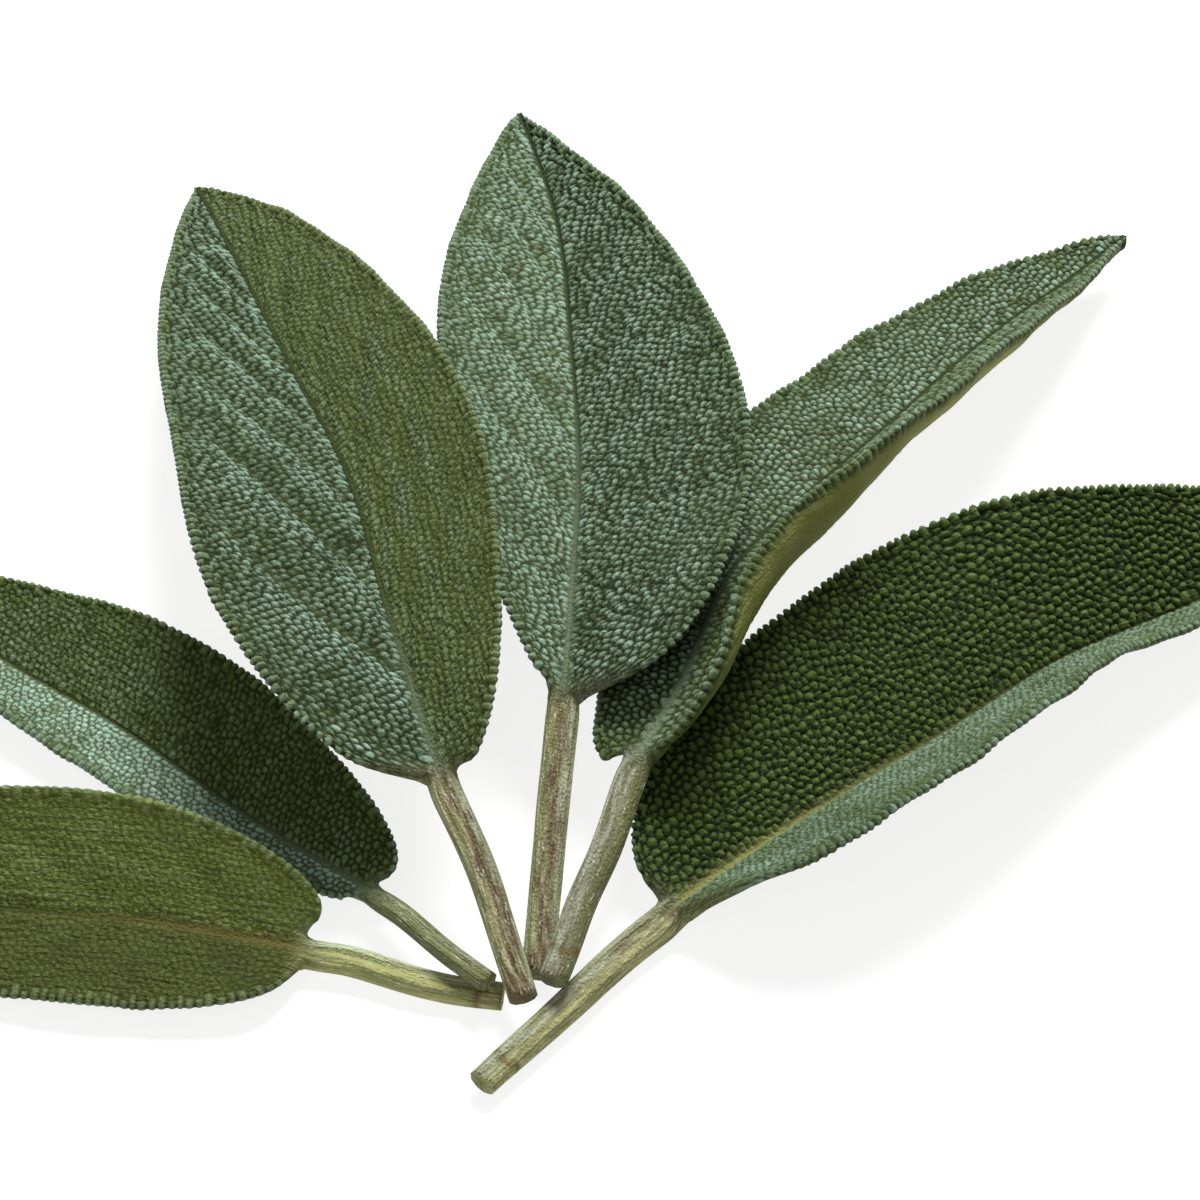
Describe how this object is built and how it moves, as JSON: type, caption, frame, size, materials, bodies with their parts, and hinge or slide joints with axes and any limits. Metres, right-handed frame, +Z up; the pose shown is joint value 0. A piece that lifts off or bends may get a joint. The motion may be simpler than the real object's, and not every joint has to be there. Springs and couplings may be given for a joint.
{
  "type": "sage bunch",
  "caption": "Loose bunch of fresh sage leaves lying flat, long pointed pebbled blades fanned out from where their bare stalks meet.",
  "frame": {"origin": "bottom centre of the overall box, on the surface the bunch lies on", "axes": "+Z up from the surface, +X to the right along the fan's greatest width, +Y from the cut stalk ends towards the tip of the middle leaf"},
  "size_m": [0.1252, 0.1041, 0.0151],
  "materials": {
    "leaf_left_low": "matt, downy",
    "leaf_left_folded": "matt, downy",
    "leaf_left_broad": "matt, downy",
    "leaf_centre": "matt, downy",
    "leaf_right_curled": "matt, downy",
    "leaf_right_low": "matt, downy"
  },
  "bodies": {
    "root": {"leaf_left_low": "leaf_left_low", "leaf_left_folded": "leaf_left_folded", "leaf_left_broad": "leaf_left_broad", "leaf_centre": "leaf_centre", "leaf_right_curled": "leaf_right_curled", "leaf_right_low": "leaf_right_low"}
  },
  "joints": []
}
